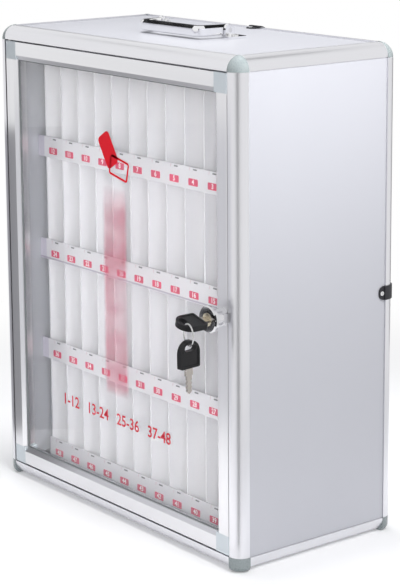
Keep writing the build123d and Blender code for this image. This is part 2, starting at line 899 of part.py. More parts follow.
with BuildPart() as lock_nuts:
    for nut_front, thickness, flats in (
        (-lock_nut_thickness, lock_nut_thickness, lock_nut_flats),
        (door_depth, rear_nut_thickness, rear_nut_flats),
    ):
        with BuildSketch(lock_plane(nut_front)):
            RegularPolygon(flats / 2, 6, major_radius=False, rotation=30)
            Circle(stem_radius + stem_play / 2, mode=Mode.SUBTRACT)
        extrude(amount=thickness)
save(lock_nuts, "lock_nuts")

with BuildPart() as lock_plug:
    with BuildSketch(lock_plane(-lock_proud - plug_face_proud)):
        Circle(plug_head_radius)
    extrude(amount=plug_head_length)
    with BuildSketch(lock_plane(-lock_proud + head_step)):
        Circle(plug_radius)
    extrude(amount=shoulder + lock_proud - head_step)
    with BuildSketch(lock_plane(shoulder)):
        Rectangle(cam_square, cam_square)
    extrude(amount=cam_thickness + 2 * cam_end_play)
    # Keyway for the blade, and the tapped hole for the screw of the cam
    with BuildSketch(lock_plane(-lock_proud - plug_face_proud)):
        Rectangle(blade_width + 2 * keyway_play, blade_thickness + 2 * keyway_play, rotation=key_tilt)
    extrude(amount=blade_length + hole_overrun, mode=Mode.SUBTRACT)
    with BuildSketch(lock_plane(shoulder + cam_thickness + 2 * cam_end_play)):
        Circle(screw_shank_radius + pin_running / 2)
    extrude(amount=-cam_screw_length - hole_overrun, mode=Mode.SUBTRACT)
save(lock_plug, "lock_plug")

# The cam points up while the lock is open, and swings behind the stop of the right post
with BuildPart() as lock_cam:
    with BuildSketch(lock_plane(cam_front, outward=True).offset(-cam_thickness)):
        Circle(cam_pad_radius)
        with Locations((0, cam_reach / 2)):
            Rectangle(cam_width, cam_reach)
        Rectangle(cam_square + 2 * cam_play, cam_square + 2 * cam_play, mode=Mode.SUBTRACT)
    extrude(amount=cam_thickness)
    tip_edges = lock_cam.edges().filter_by(Axis.Y).sort_by(Axis.Z)[-2:]
    fillet(tip_edges, cam_tip_round)
save(lock_cam, "lock_cam")

with BuildPart() as cam_screw:
    with BuildSketch(lock_plane(shoulder + cam_thickness + 2 * cam_end_play)):
        Circle(cam_screw_head_radius)
    extrude(amount=cam_screw_head_height)
    with BuildSketch(lock_plane(shoulder + cam_thickness + 2 * cam_end_play)):
        Circle(screw_shank_radius)
    extrude(amount=-cam_screw_length)
save(cam_screw, "cam_screw")


# Keys: a flat blade in a moulded head. Local x is across the key, local y from the blade to the
# rounded end, with the origin in the middle of the head's flat end.
bow_radius = bow_width / 2
hole_y = bow_length - bow_hole_from_end


def bow_outline(inset=0.0):
    """The head: straight sides and a round end, drawn smaller by the inset."""
    radius = bow_radius - inset
    with Locations((0, bow_length - bow_radius)):
        Circle(radius)
    with Locations((0, (inset + bow_length - bow_radius) / 2)):
        Rectangle(2 * radius, bow_length - bow_radius - inset)


def key_head(place):
    """Moulded head with a raised rim, a wide hole for the ring and a socket for the blade."""
    with BuildPart() as head:
        with BuildSketch(place):
            bow_outline()
        extrude(amount=bow_thickness / 2, both=True)
        flat_corners = head.edges().filter_by(Axis((0, 0, 0), place.z_dir)).filter_by(
            lambda edge: abs(place.to_local_coords(edge.center()).Y) < 0.01
        )
        fillet(flat_corners, bow_corner)
        for face_side in (-1, 1):
            with BuildSketch(place.offset(face_side * (bow_thickness / 2 - bow_recess))):
                bow_outline(bow_rim)
                with Locations((0, hole_y)):
                    SlotOverall(bow_hole_length + 2 * bow_rim, bow_hole_width + bow_rim, mode=Mode.SUBTRACT)
            extrude(amount=face_side * bow_recess, mode=Mode.SUBTRACT)
        with BuildSketch(place):
            with Locations((0, hole_y)):
                SlotOverall(bow_hole_length, bow_hole_width)
        extrude(amount=bow_thickness, both=True, mode=Mode.SUBTRACT)
        with BuildSketch(place):
            with Locations((0, blade_tang / 2)):
                Rectangle(shank_width, blade_tang)
        extrude(amount=blade_thickness / 2, both=True, mode=Mode.SUBTRACT)
    return head


def key_blade(place):
    """Flat blade: the tang in the head, a wide shank, and a narrower bitted length with a pointed end."""
    half = blade_width / 2
    step = -key_gap + plug_face_proud
    tip = step - blade_length
    with BuildPart() as blade:
        with BuildSketch(place):
            with Locations((0, (blade_tang + step) / 2)):
                Rectangle(shank_width, blade_tang - step)
            with BuildLine():
                Polyline(
                    (-half, step),
                    (-half, tip + blade_tip),
                    (0, tip),
                    (half, tip + blade_tip),
                    (half, step),
                    close=True,
                )
            make_face()
            for cut in bit_places:
                for across in (-1, 1):
                    with Locations((across * half, step - cut * blade_length)):
                        Rectangle(2 * bit_depth, bit_width, mode=Mode.SUBTRACT)
        extrude(amount=blade_thickness / 2, both=True)
    return blade


tilt = radians(key_tilt)
across_key = Vector(cos(tilt), 0, -sin(tilt))
out_of_lock = Vector(0, -1, 0)
lock_key_plane = Plane(
    origin=(lock_x, key_flat_y, lock_z),
    x_dir=across_key,
    z_dir=across_key.cross(out_of_lock),
)
lock_key_head = key_head(lock_key_plane)
save(lock_key_head, "lock_key_head")
lock_key_blade = key_blade(lock_key_plane)
save(lock_key_blade, "lock_key_blade")

# The ring hangs over the strip between the hole and the side of the head in the lock. Its wire
# passes the strip's upper edge, and it is turned a little about the vertical.
upper_face = -lock_key_plane.z_dir
strip_edge = (
    lock_key_plane.origin
    + across_key * (bow_hole_length / 2)
    + upper_face * (bow_thickness / 2)
    + out_of_lock * (hole_y + ring_shift)
)
ring_inner = ring_radius - ring_wire_radius
ring_across = Vector(cos(radians(ring_turn)), sin(radians(ring_turn)), 0)
ring_normal = Vector(-sin(radians(ring_turn)), cos(radians(ring_turn)), 0)
ring_centre = strip_edge + Vector(0, 0, ring_clearance - ring_inner)
with BuildPart() as key_ring:
    with BuildSketch(Plane(origin=ring_centre + ring_across * ring_radius, x_dir=ring_across, z_dir=(0, 0, 1))):
        Circle(ring_wire_radius)
    revolve(axis=Axis(ring_centre, ring_normal))
save(key_ring, "key_ring")

# The spare key hangs from the bottom of the ring by the upper edge of its hole
ring_bottom = ring_centre - Vector(0, 0, ring_radius)
hole_top_gap = ring_wire_radius + 2 * ring_clearance
spare_origin = ring_bottom + Vector(0, 0, hole_top_gap - bow_hole_width / 2 - hole_y)
spare_across = Vector(-sin(turn), cos(turn), 0)
spare_plane = Plane(origin=spare_origin, x_dir=spare_across, z_dir=spare_across.cross(Vector(0, 0, 1)))
spare_key_head = key_head(spare_plane)
save(spare_key_head, "spare_key_head")
spare_key_blade = key_blade(spare_plane)
save(spare_key_blade, "spare_key_blade")


# Phone rack: a back board, four shelves with a label strip on the front of each, and dividers
rack_y = front + rack_front
board_back = back - cap_size - rack_clearance
board_front = board_back - rack_board_thickness
rack_depth = board_front - rack_y
rack_wide = width - 2 * panel_inside - 2 * rack_side_play
rack_narrow = width - 2 * cap_size - 2 * rack_clearance
column_pitch = (width - 2 * divider_from_side) / columns
board_low = bottom + cap_size + rack_clearance
board_high = top - cap_size - rack_clearance

with BuildPart() as rack_back_board:
    with Locations((0, (board_front + board_back) / 2, (board_low + board_high) / 2)):
        Box(rack_wide, rack_board_thickness, board_high - board_low)
save(rack_back_board, "rack_back_board")

row_widths = (rack_narrow, rack_wide, rack_wide, rack_wide)
row_tops = row_starts[1:] + (height - panel_inside - rack_clearance,)
for row, (start, wide, end) in enumerate(zip(row_starts, row_widths, row_tops), 1):
    with BuildPart() as rack_shelf:
        with Locations((0, rack_y + rack_depth / 2, bottom + start + shelf_thickness / 2)):
            Box(wide, rack_depth, shelf_thickness)
    save(rack_shelf, "rack_shelf_" + str(row))

    divider_low = bottom + start + shelf_thickness
    divider_high = bottom + end
    with BuildPart() as rack_dividers:
        with BuildSketch(Plane.XY.offset(divider_low)):
            with Locations((0, rack_y + rack_depth / 2)):
                with GridLocations(column_pitch, rack_depth, columns + 1, 1):
                    Rectangle(divider_thickness, rack_depth)
        extrude(amount=divider_high - divider_low)
    save(rack_dividers, "rack_dividers_" + str(row))

with BuildPart() as label_strips:
    for start, wide in zip(row_starts, row_widths):
        with Locations((0, rack_y - label_thickness / 2, bottom + start + label_height / 2)):
            Box(wide, label_thickness, label_height)
save(label_strips, "label_strips")

for name, value in (
    ("hinge", (hinge_x, hinge_y)),
    ("lock", (lock_x, lock_y, lock_z)),
    ("ring hang point", tuple(ring_centre + Vector(0, 0, ring_radius))),
    ("ring bottom", tuple(ring_bottom)),
    ("ring across", tuple(ring_across)),
    ("handle pivot", (eye_x, pivot_y, pivot_z)),
    ("front, back, bottom, top", (front, back, bottom, top)),
):
    print(name, [round(number, 4) for number in value])
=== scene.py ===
from math import cos, pi, radians, sin

import bmesh
import bpy
from mathutils import Matrix, Vector


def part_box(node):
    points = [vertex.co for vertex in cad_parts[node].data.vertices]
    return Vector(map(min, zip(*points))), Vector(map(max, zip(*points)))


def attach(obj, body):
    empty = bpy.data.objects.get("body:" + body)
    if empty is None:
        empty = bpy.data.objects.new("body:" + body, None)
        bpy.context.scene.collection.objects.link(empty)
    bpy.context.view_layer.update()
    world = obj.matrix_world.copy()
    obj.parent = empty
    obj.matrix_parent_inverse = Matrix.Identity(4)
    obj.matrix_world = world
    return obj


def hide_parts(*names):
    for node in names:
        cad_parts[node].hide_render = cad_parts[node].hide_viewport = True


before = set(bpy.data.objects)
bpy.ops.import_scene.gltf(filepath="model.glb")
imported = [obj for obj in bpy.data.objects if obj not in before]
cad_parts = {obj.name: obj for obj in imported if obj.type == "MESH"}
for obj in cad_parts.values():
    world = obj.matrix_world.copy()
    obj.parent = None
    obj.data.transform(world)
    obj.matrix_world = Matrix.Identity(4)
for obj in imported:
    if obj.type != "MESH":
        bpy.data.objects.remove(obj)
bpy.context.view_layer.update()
scene = bpy.context.scene
scene.view_settings.view_transform = "Standard"

# The photograph's camera: a long lens to the right of the cabinet and a little above it. The frame
# is shifted down, so the axis passes above the middle of the picture and uprights stay nearly parallel.
camera_place = Vector((1.4152, -1.0697, 0.6369))
yaw, pitch, roll = radians(-51.941), radians(-10.846), radians(-0.405)
camera_data = bpy.data.cameras.new("photo_camera")
camera_data.lens = 119.5
camera_data.shift_y = -0.16
camera_data.clip_start = 0.05
camera_data.clip_end = 60
camera = bpy.data.objects.new("photo_camera", camera_data)
scene.collection.objects.link(camera)
forward = Vector((sin(yaw) * cos(pitch), cos(yaw) * cos(pitch), sin(pitch)))
level_right = Vector((cos(yaw), -sin(yaw), 0))
level_up = level_right.cross(forward)
camera_right = cos(roll) * level_right + sin(roll) * level_up
camera_up = -sin(roll) * level_right + cos(roll) * level_up
turned = Matrix((camera_right, camera_up, -forward)).transposed().to_4x4()
camera.matrix_world = Matrix.Translation(camera_place) @ turned
scene.camera = camera

# Soft studio surroundings: an even pale light from all round, which a camera, a reflection or a
# look through glass sees as plain white.
ambient_level, background_level = 0.50, 1.0
surroundings = bpy.data.worlds.new("surroundings")
scene.world = surroundings
surroundings.use_nodes = True
nodes = surroundings.node_tree.nodes
links = surroundings.node_tree.links
nodes.clear()
ambient = nodes.new("ShaderNodeBackground")
ambient.inputs["Color"].default_value = (0.97, 0.98, 1.0, 1.0)
ambient.inputs["Strength"].default_value = ambient_level
white_around = nodes.new("ShaderNodeBackground")
white_around.inputs["Color"].default_value = (1.0, 1.0, 1.0, 1.0)
white_around.inputs["Strength"].default_value = background_level


def seen_directly(nodes, links):
    """1 for rays from the camera, from a reflection or through glass, and 0 for rays of plain light."""
    path = nodes.new("ShaderNodeLightPath")
    camera_or_glossy = nodes.new("ShaderNodeMath")
    camera_or_glossy.operation = "MAXIMUM"
    links.new(path.outputs["Is Camera Ray"], camera_or_glossy.inputs[0])
    links.new(path.outputs["Is Glossy Ray"], camera_or_glossy.inputs[1])
    any_of_three = nodes.new("ShaderNodeMath")
    any_of_three.operation = "MAXIMUM"
    links.new(camera_or_glossy.outputs[0], any_of_three.inputs[0])
    links.new(path.outputs["Is Transmission Ray"], any_of_three.inputs[1])
    return any_of_three.outputs[0]


mix = nodes.new("ShaderNodeMixShader")
links.new(seen_directly(nodes, links), mix.inputs[0])
links.new(ambient.outputs[0], mix.inputs[1])
links.new(white_around.outputs[0], mix.inputs[2])
output = nodes.new("ShaderNodeOutputWorld")
links.new(mix.outputs[0], output.inputs[0])

# Soft lamps: one beside the camera that reaches the rack through the pane, a strip on the right that
# falls off down the side, a weaker one on the left, and one overhead whose beam keeps to the top.
for name, place, target, width, height, beam, power in (
    ("camera_lamp", (1.73, -1.48, 0.72), (0.0, 0.0, 0.22), 0.45, 0.45, 180.0, 22.5),
    ("right_strip", (0.50, 0.03, 0.58), (0.18, 0.03, 0.40), 0.50, 0.20, 110.0, 1.3),
    ("left_lamp", (-1.60, 0.60, 0.90), (0.0, 0.0, 0.22), 0.90, 0.90, 180.0, 8.0),
    ("top_lamp", (0.0, 0.0, 1.25), (0.0, 0.0, 0.0), 0.30, 0.30, 60.0, 1.2),
):
    lamp_data = bpy.data.lights.new(name, "AREA")
    lamp_data.shape = "RECTANGLE"
    lamp_data.size = width
    lamp_data.size_y = height
    lamp_data.spread = radians(beam)
    lamp_data.energy = power
    lamp = bpy.data.objects.new(name, lamp_data)
    lamp.location = place
    lamp.rotation_euler = (Vector(target) - Vector(place)).to_track_quat("-Z", "Y").to_euler()
    lamp.visible_camera = False
    lamp.visible_glossy = False
    scene.collection.objects.link(lamp)


# A plain pale floor. It keeps the shadow of the cabinet near it, and goes over to plain white further
# out, where the lamps no longer reach.
def flat_piece(name, corners):
    """A flat four-cornered piece of the studio."""
    bm = bmesh.new()
    bm.faces.new([bm.verts.new(corner) for corner in corners])
    mesh = bpy.data.meshes.new(name)
    bm.to_mesh(mesh)
    bm.free()
    piece = bpy.data.objects.new(name, mesh)
    scene.collection.objects.link(piece)
    return piece


floor_reach = 9
floor_lift = 0.09
shadow_reach, white_from = 0.35, 0.85
floor = flat_piece(
    "floor",
    [
        (-floor_reach, -floor_reach, 0),
        (floor_reach, -floor_reach, 0),
        (floor_reach, floor_reach, 0),
        (-floor_reach, floor_reach, 0),
    ],
)
floor_paint = bpy.data.materials.new("floor_paint")
floor_paint.use_nodes = True
nodes = floor_paint.node_tree.nodes
links = floor_paint.node_tree.links
nodes.clear()
matt = nodes.new("ShaderNodeBsdfDiffuse")
matt.inputs["Color"].default_value = (0.87, 0.87, 0.88, 1.0)
lift = nodes.new("ShaderNodeEmission")
lift.inputs["Color"].default_value = (1.0, 1.0, 1.0, 1.0)
lift_level = nodes.new("ShaderNodeMath")
lift_level.operation = "MULTIPLY"
lift_level.inputs[1].default_value = floor_lift
links.new(seen_directly(nodes, links), lift_level.inputs[0])
links.new(lift_level.outputs[0], lift.inputs["Strength"])
near_floor = nodes.new("ShaderNodeAddShader")
links.new(matt.outputs[0], near_floor.inputs[0])
links.new(lift.outputs[0], near_floor.inputs[1])
far_floor = nodes.new("ShaderNodeEmission")
links.new(seen_directly(nodes, links), far_floor.inputs["Strength"])
place = nodes.new("ShaderNodeTexCoord")
distance = nodes.new("ShaderNodeVectorMath")
distance.operation = "LENGTH"
links.new(place.outputs["Object"], distance.inputs[0])
outward = nodes.new("ShaderNodeMapRange")
outward.interpolation_type = "SMOOTHSTEP"
outward.inputs["From Min"].default_value = shadow_reach
outward.inputs["From Max"].default_value = white_from
links.new(distance.outputs["Value"], outward.inputs["Value"])
near_or_far = nodes.new("ShaderNodeMixShader")
links.new(outward.outputs["Result"], near_or_far.inputs[0])
links.new(near_floor.outputs[0], near_or_far.inputs[1])
links.new(far_floor.outputs[0], near_or_far.inputs[2])
output = nodes.new("ShaderNodeOutputMaterial")
links.new(near_or_far.outputs[0], output.inputs["Surface"])
floor.data.materials.append(floor_paint)


# Flags that only reflections see, as a photographer stands them round bright metal: glowing sheets that
# paint dark or pale reflections. A dark one with paler ends on the left for the uprights and the pane, a
# small one for the face of the lock, one behind and two above for the handle, one for the edge of the
# rear upright, a narrow one by the camera, and a dark one on the floor before it.
def upright(near_foot, far_foot, low, high):
    """The corners of an upright flag that stands over a line on the floor."""
    return (*near_foot, low), (*far_foot, low), (*far_foot, high), (*near_foot, high)


left_high = 0.33
left_line = ((-0.585, 0.302), (-0.296, -0.122), (-0.257, -0.179), (-0.008, -0.545))
camera_line = ((0.90, -1.36), (1.26, -1.05))
floor_flag_rise = 0.002
for name, level, corners in (
    ("left_flag_rear", 0.50, upright(left_line[0], left_line[1], 0.0, left_high)),
    ("left_flag", 0.20, upright(left_line[1], left_line[2], 0.0, left_high)),
    ("left_flag_end", 0.72, upright(left_line[2], left_line[3], 0.0, left_high)),
    ("rear_flag", 0.05, upright((-1.30, 0.40), (-0.75, 1.10), 0.49, 0.80)),
    ("grip_flag", 0.02, upright((-0.94, -0.185), (-0.96, -0.055), 1.11, 1.25)),
    ("arm_flag", 0.02, ((0.08, 0.48, 1.33), (0.27, 0.48, 1.33), (0.27, 0.70, 1.20), (0.08, 0.70, 1.20))),
    ("lock_flag", 0.01, upright((-0.0427, -0.2336), (-0.0315, -0.2478), 0.149, 0.175)),
    ("back_flag", 0.04, upright((-0.50, 0.75), (0.10, 0.75), 0.0, 0.44)),
    ("camera_flag", 0.04, upright(*camera_line, 0.05, 1.30)),
    (
        "floor_flag",
        0.04,
        (
            (0.205, -0.118, floor_flag_rise),
            (0.212, -0.100, floor_flag_rise),
            (*camera_line[1], floor_flag_rise),
            (*camera_line[0], floor_flag_rise),
        ),
    ),
):
    flag = flat_piece(name, corners)
    cloth = bpy.data.materials.new(name + "_cloth")
    cloth.use_nodes = True
    nodes = cloth.node_tree.nodes
    nodes.clear()
    shade = nodes.new("ShaderNodeEmission")
    shade.inputs["Color"].default_value = (level, level, level * 1.05, 1.0)
    output = nodes.new("ShaderNodeOutputMaterial")
    cloth.node_tree.links.new(shade.outputs[0], output.inputs["Surface"])
    flag.data.materials.append(cloth)
    flag.visible_camera = False
    flag.visible_diffuse = False
    flag.visible_transmission = False
    flag.visible_shadow = False


# Edge sections: anodised aluminium extrusions with a rounded outside, slots for the sheets and a
# satin face. Die lines run along each length, so a reflection spreads across it.
def start_material(name):
    """A material with one Principled shader, and its nodes and links."""
    material = bpy.data.materials.new(name)
    material.use_nodes = True
    nodes = material.node_tree.nodes
    return material, nodes, material.node_tree.links, nodes["Principled BSDF"]


def grain(nodes, links, scale, detail=3.0, roughness=0.5):
    """Noise in the part's own space. The scale is in features per metre along x, y and z."""
    place = nodes.new("ShaderNodeTexCoord")
    stretch = nodes.new("ShaderNodeMapping")
    stretch.inputs["Scale"].default_value = scale
    noise = nodes.new("ShaderNodeTexNoise")
    noise.inputs["Scale"].default_value = 1.0
    noise.inputs["Detail"].default_value = detail
    noise.inputs["Roughness"].default_value = roughness
    links.new(place.outputs["Object"], stretch.inputs["Vector"])
    links.new(stretch.outputs["Vector"], noise.inputs["Vector"])
    return noise.outputs["Fac"]


def between(nodes, links, fac, low, high, start=0.3, end=0.7):
    """A number that goes from low to high as the noise goes from start to end."""
    span = nodes.new("ShaderNodeMapRange")
    span.inputs["From Min"].default_value = start
    span.inputs["From Max"].default_value = end
    span.inputs["To Min"].default_value = low
    span.inputs["To Max"].default_value = high
    links.new(fac, span.inputs["Value"])
    return span.outputs["Result"]


def tinted(nodes, links, fac, low, high, start=0.3, end=0.7):
    """A colour that goes from low to high as the noise goes from start to end."""
    ramp = nodes.new("ShaderNodeValToRGB")
    ramp.color_ramp.elements[0].position = start
    ramp.color_ramp.elements[0].color = (*low, 1.0)
    ramp.color_ramp.elements[1].position = end
    ramp.color_ramp.elements[1].color = (*high, 1.0)
    links.new(fac, ramp.inputs["Fac"])
    return ramp.outputs["Color"]


def raised(nodes, links, shader, height, distance, strength=1.0):
    """Relief on the shader's surface, with its depth in metres."""
    bump = nodes.new("ShaderNodeBump")
    bump.inputs["Strength"].default_value = strength
    bump.inputs["Distance"].default_value = distance
    links.new(height, bump.inputs["Height"])
    links.new(bump.outputs["Normal"], shader.inputs["Normal"])


def extruded_aluminium(name, along, pale, deep):
    """Satin anodised aluminium whose die lines run along x, y or z."""
    material, nodes, links, shader = start_material(name)
    axis = "xyz".index(along)
    fine = [1500.0, 1500.0, 1500.0]
    fine[axis] = 5.0
    broad = [90.0, 90.0, 90.0]
    broad[axis] = 2.0
    die_lines = grain(nodes, links, fine, 2.0)
    shade = grain(nodes, links, broad, 2.0)
    shader.inputs["Metallic"].default_value = 1.0
    shader.inputs["Anisotropic"].default_value = 0.65
    shader.inputs["Anisotropic Rotation"].default_value = 0.25
    links.new(tinted(nodes, links, shade, deep, pale), shader.inputs["Base Color"])
    links.new(between(nodes, links, die_lines, 0.28, 0.31), shader.inputs["Roughness"])
    raised(nodes, links, shader, die_lines, 0.000005, 0.15)
    grain_way = nodes.new("ShaderNodeCombineXYZ")
    grain_way.inputs[axis].default_value = 1.0
    links.new(grain_way.outputs[0], shader.inputs["Tangent"])
    return material


def finish(material, *names):
    """Gives CAD nodes their finish."""
    for name in names:
        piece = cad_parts[name]
        piece.data.materials.clear()
        piece.data.materials.append(material)


edge_pale, edge_deep = (0.78, 0.78, 0.81), (0.75, 0.75, 0.78)
finish(
    extruded_aluminium("edge_aluminium_upright", "z", edge_pale, edge_deep),
    "front_post_left",
    "front_post_right",
    "rear_post_left",
    "rear_post_right",
)
finish(
    extruded_aluminium("edge_aluminium_across", "x", edge_pale, edge_deep),
    "front_rail_bottom",
    "front_rail_top",
    "rear_rail_bottom",
    "rear_rail_top",
)
finish(
    extruded_aluminium("edge_aluminium_deep", "y", edge_pale, edge_deep),
    "side_rail_bottom_left",
    "side_rail_bottom_right",
    "side_rail_top_left",
    "side_rail_top_right",
)


# Corner caps: moulded grey plastic, a dome on each top corner and a flat foot at each bottom one,
# pushed into the sections' chambers. The mould's fine texture shows in the gloss.
def moulded_plastic(name, pale, deep, low_gloss, high_gloss, coarse=900.0, shine=0.5):
    """Plastic from a finely textured mould. Gloss is given as roughness."""
    material, nodes, links, shader = start_material(name)
    pores = grain(nodes, links, (coarse, coarse, coarse), 3.0)
    clouds = grain(nodes, links, (35.0, 35.0, 35.0), 2.0)
    links.new(tinted(nodes, links, clouds, deep, pale), shader.inputs["Base Color"])
    links.new(between(nodes, links, pores, low_gloss, high_gloss), shader.inputs["Roughness"])
    shader.inputs["Specular IOR Level"].default_value = shine
    raised(nodes, links, shader, pores, 0.00002, 0.6)
    return material


cap_plastic = moulded_plastic("cap_plastic", (0.235, 0.265, 0.272), (0.21, 0.24, 0.247), 0.24, 0.34)
finish(cap_plastic, *sorted(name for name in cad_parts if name.startswith("corner_cap_")))


# Sheets: aluminium composite with a silver-grey coat, slid into the slots of the sections.
# The coat has a fine metallic fleck, and its tone drifts a little over a sheet.
def coated_sheet(name, pale, deep):
    """A pale metallic coat over a flat sheet."""
    material, nodes, links, shader = start_material(name)
    flecks = grain(nodes, links, (2600.0, 2600.0, 2600.0), 2.0, 0.7)
    clouds = grain(nodes, links, (7.0, 7.0, 3.0), 2.0)
    links.new(tinted(nodes, links, clouds, deep, pale), shader.inputs["Base Color"])
    links.new(between(nodes, links, flecks, 0.40, 0.54), shader.inputs["Roughness"])
    shader.inputs["Metallic"].default_value = 0.35
    shader.inputs["Coat Weight"].default_value = 0.10
    shader.inputs["Coat Roughness"].default_value = 0.30
    raised(nodes, links, shader, flecks, 0.00001, 0.4)
    return material


sheet_coat = coated_sheet("sheet_coat", (0.485, 0.490, 0.530), (0.470, 0.475, 0.515))
finish(sheet_coat, "top_panel", "bottom_panel", "back_panel", "side_panel_left", "side_panel_right")

# Door frame: stiles and rails of one anodised aluminium section, with a sloped lip down to the pane
# and a slot that holds it. They are cut square and joined at the corners.
door_pale, door_deep = (0.79, 0.79, 0.81), (0.76, 0.76, 0.78)
finish(
    extruded_aluminium("door_aluminium_upright", "z", door_pale, door_deep),
    "door_stile_left",
    "door_stile_right",
)
finish(
    extruded_aluminium("door_aluminium_across", "x", door_pale, door_deep),
    "door_rail_bottom",
    "door_rail_top",
)

# Corner caps of the door: square blocks of moulded blue-grey plastic, flush with the section, whose
# tenons join the stiles and rails.
door_cap_pale, door_cap_deep = (0.59, 0.64, 0.68), (0.55, 0.60, 0.64)
finish(moulded_plastic("door_cap_plastic", door_cap_pale, door_cap_deep, 0.30, 0.42), "door_corner_caps")


# Window pane: clear acrylic in the door's slot, with a soft grey sealing strip round its front.
# Lamps reach the rack through it, as they do through a real pane.
def clear_pane(name):
    """Clear sheet that lets lamps through."""
    material, nodes, links, shader = start_material(name)
    smears = grain(nodes, links, (9.0, 9.0, 9.0), 3.0)
    shader.inputs["Base Color"].default_value = (0.985, 0.99, 0.99, 1.0)
    shader.inputs["Transmission Weight"].default_value = 1.0
    shader.inputs["IOR"].default_value = 1.47
    links.new(between(nodes, links, smears, 0.0, 0.02), shader.inputs["Roughness"])
    through = nodes.new("ShaderNodeBsdfTransparent")
    through.inputs["Color"].default_value = (0.95, 0.96, 0.96, 1.0)
    path = nodes.new("ShaderNodeLightPath")
    choice = nodes.new("ShaderNodeMixShader")
    output = nodes["Material Output"]
    links.new(path.outputs["Is Shadow Ray"], choice.inputs[0])
    links.new(shader.outputs[0], choice.inputs[1])
    links.new(through.outputs[0], choice.inputs[2])
    links.new(choice.outputs[0], output.inputs["Surface"])
    return material


finish(clear_pane("window_acrylic"), "door_window")
seal_rubber = moulded_plastic("seal_rubber", (0.24, 0.25, 0.26), (0.20, 0.21, 0.22), 0.55, 0.70)
finish(seal_rubber, "window_gasket")


# Hinge pins: turned steel, pressed into the front rails, one above and one below the door's left
# stile. Turning leaves fine rings and smears in the shine.
def shiny_metal(name, pale, deep, low_gloss, high_gloss, scale=(700.0, 700.0, 700.0)):
    """Bare or plated metal with faint wear. Gloss is given as roughness."""
    material, nodes, links, shader = start_material(name)
    wear = grain(nodes, links, scale, 3.0)
    smears = grain(nodes, links, (60.0, 60.0, 60.0), 3.0)
    shader.inputs["Metallic"].default_value = 1.0
    links.new(tinted(nodes, links, smears, deep, pale), shader.inputs["Base Color"])
    links.new(between(nodes, links, smears, low_gloss, high_gloss), shader.inputs["Roughness"])
    raised(nodes, links, shader, wear, 0.000006, 0.4)
    return material


finish(shiny_metal("pin_steel", (0.62, 0.61, 0.60), (0.54, 0.53, 0.52), 0.22, 0.34), "hinge_pins")

# Cam lock: a chromed housing held by nuts in the door's right stile, a brass plug that takes the key,
# and a steel cam screwed to its inner end.
lock_chrome = shiny_metal("lock_chrome", (0.70, 0.70, 0.72), (0.62, 0.62, 0.64), 0.05, 0.11)
plug_brass = shiny_metal("plug_brass", (0.90, 0.83, 0.66), (0.84, 0.76, 0.58), 0.20, 0.30)
lock_steel = shiny_metal("lock_steel", (0.66, 0.66, 0.66), (0.58, 0.58, 0.58), 0.20, 0.32)
finish(lock_chrome, "lock_housing", "lock_nuts")
finish(plug_brass, "lock_plug")
finish(lock_steel, "lock_cam", "cam_screw")

# Keys: nickel-plated blades moulded into black plastic heads with a raised rim. A ring of bent steel
# wire joins the two.
key_nickel = shiny_metal("key_nickel", (0.50, 0.47, 0.44), (0.42, 0.39, 0.36), 0.20, 0.34)
key_black, key_deep_black = (0.012, 0.012, 0.013), (0.007, 0.007, 0.008)
key_plastic = moulded_plastic("key_plastic", key_black, key_deep_black, 0.26, 0.40, 1400.0, 0.2)
finish(key_nickel, "lock_key_blade", "spare_key_blade")
finish(key_plastic, "lock_key_head", "spare_key_head")
finish(lock_steel, "key_ring")

# Carrying handle: a cast bail that folds flat between two pressed brackets, all chromed. The brackets
# are screwed to the top sheet.
handle_chrome = shiny_metal("handle_chrome", (0.88, 0.88, 0.89), (0.83, 0.83, 0.85), 0.04, 0.09)
finish(handle_chrome, "handle_bail", "handle_brackets")

# Wall hangers: bent steel straps with a black stoved coat, which wrap the edge from the sheet in
# front to the back and have a keyhole in the back leg.
strap_black, strap_deep_black = (0.030, 0.030, 0.034), (0.022, 0.022, 0.025)
hanger_black = moulded_plastic("hanger_black", strap_black, strap_deep_black, 0.34, 0.48, 900.0, 0.2)
finish(hanger_black, "top_hanger", "side_hangers")

# Phone rack: white sheet plastic, slotted together, with a back board. The sheets carry painted light:
# they are painted darker at their front edges, which the lamps light most, and lighter deep in the slots,
# where shade falls.
painted_light_depth = 0.030
painted_dark_front_white, painted_light_deep_white = (0.76, 0.745, 0.78), (0.98, 0.965, 0.990)
rack_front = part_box("rack_dividers_1")[0][1]
rack_white, nodes, links, shader = start_material("rack_white")
place = nodes.new("ShaderNodeTexCoord")
parts = nodes.new("ShaderNodeSeparateXYZ")
links.new(place.outputs["Object"], parts.inputs[0])
# Painted shade at the front edges, going over to painted light over the first 30 mm into the slots.
inward = between(nodes, links, parts.outputs["Y"], 0.0, 1.0, rack_front, rack_front + painted_light_depth)
links.new(tinted(nodes, links, inward, painted_dark_front_white, painted_light_deep_white, 0.0, 1.0), shader.inputs["Base Color"])
texture = grain(nodes, links, (400.0, 400.0, 400.0), 3.0)
links.new(between(nodes, links, texture, 0.50, 0.62), shader.inputs["Roughness"])
shader.inputs["Specular IOR Level"].default_value = 0.3
raised(nodes, links, shader, texture, 0.00002, 0.5)
finish(
    rack_white,
    "rack_back_board",
    *("rack_shelf_" + str(row) for row in range(1, 5)),
    *("rack_dividers_" + str(row) for row in range(1, 5)),
)
